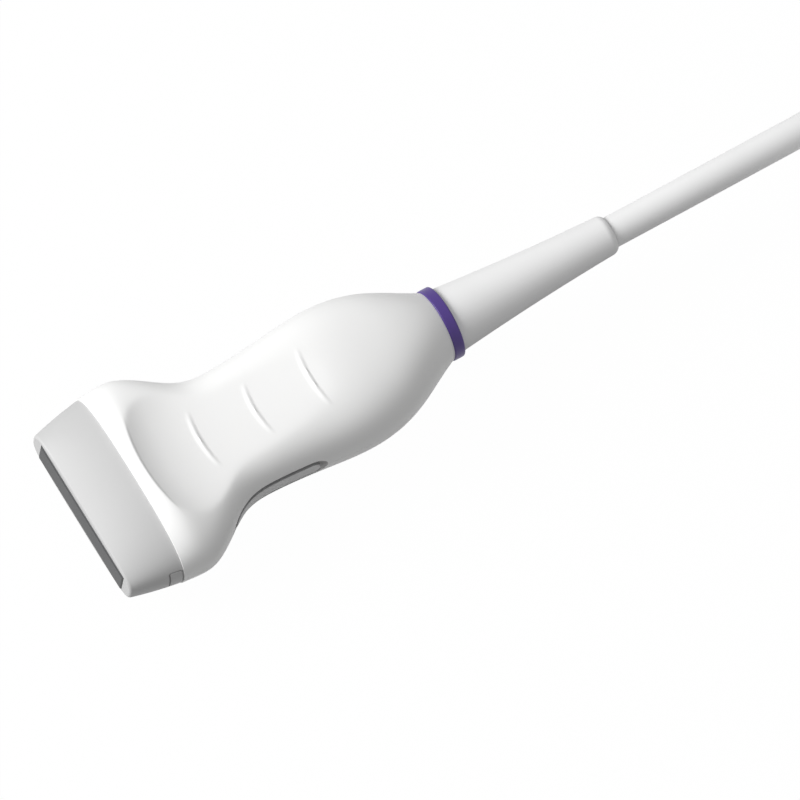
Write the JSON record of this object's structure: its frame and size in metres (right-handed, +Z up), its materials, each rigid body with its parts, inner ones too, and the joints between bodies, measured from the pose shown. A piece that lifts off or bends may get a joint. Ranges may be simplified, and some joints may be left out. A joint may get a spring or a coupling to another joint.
{
  "type": "ultrasound transducer probe",
  "caption": "Linear-array ultrasound probe: waisted white handle with finger recesses, grey wedge nose with a flat lens strip, purple neck ring, tapered boot, tied-up cable and plug.",
  "frame": {"origin": "on the table, under the middle of the handle and its boot, which lie on the handle's broad back; the free cable, its hank and the plug are left out of this middle", "axes": "+X along the handle towards the acoustic face, +Y towards the side with the orientation marker, +Z up from the table"},
  "size_m": [0.45, 0.094, 0.0312],
  "materials": {
    "nose_grey": "smooth satin",
    "lens_grey": "matt silicone",
    "matching_resin": "ground",
    "ceramic": "diced ceramic",
    "backing_black": "filled resin",
    "frame_black": "moulded",
    "flex_amber": "film",
    "board_green": "lacquered",
    "wire_blue": "wire insulation",
    "shell_white": "fine satin",
    "grip_white": "soft matt",
    "ring_purple": "satin",
    "bush_metal": "turned",
    "boot_white": "soft matt",
    "cable_white": "smooth matt jacket",
    "tie_grey": "woven strap",
    "plug_grey": "fine satin",
    "shroud_metal": "drawn",
    "contact_brass": "plated",
    "screw_steel": "plain"
  },
  "bodies": {
    "root": {"nose_piece": "nose_grey", "acoustic_lens": "lens_grey", "outer_matching_layer": "matching_resin", "inner_matching_layer": "matching_resin", "piezo_array": "ceramic", "backing_block": "backing_black", "array_frame": "frame_black", "upper_flex": "flex_amber", "lower_flex": "flex_amber", "upper_board": "board_green", "lower_board": "board_green", "board_sockets": "frame_black", "coax_bundle": "wire_blue", "top_shell": "shell_white", "bottom_shell": "shell_white", "near_grip_strip": "grip_white", "far_grip_strip": "grip_white", "neck_ring": "ring_purple", "neck_bush": "bush_metal", "cable_clamp": "bush_metal", "strain_relief": "boot_white", "cable_tail": "cable_white", "cable_run": "cable_white", "cable_hank": "cable_white", "cable_ties": "tie_grey", "cable_end": "cable_white", "plug_boot": "boot_white", "plug_tail": "cable_white", "plug_lower_shell": "plug_grey", "plug_upper_shell": "plug_grey", "plug_shroud": "shroud_metal", "contact_block": "frame_black", "contact_pins": "contact_brass", "plug_screws": "screw_steel"}
  },
  "joints": []
}
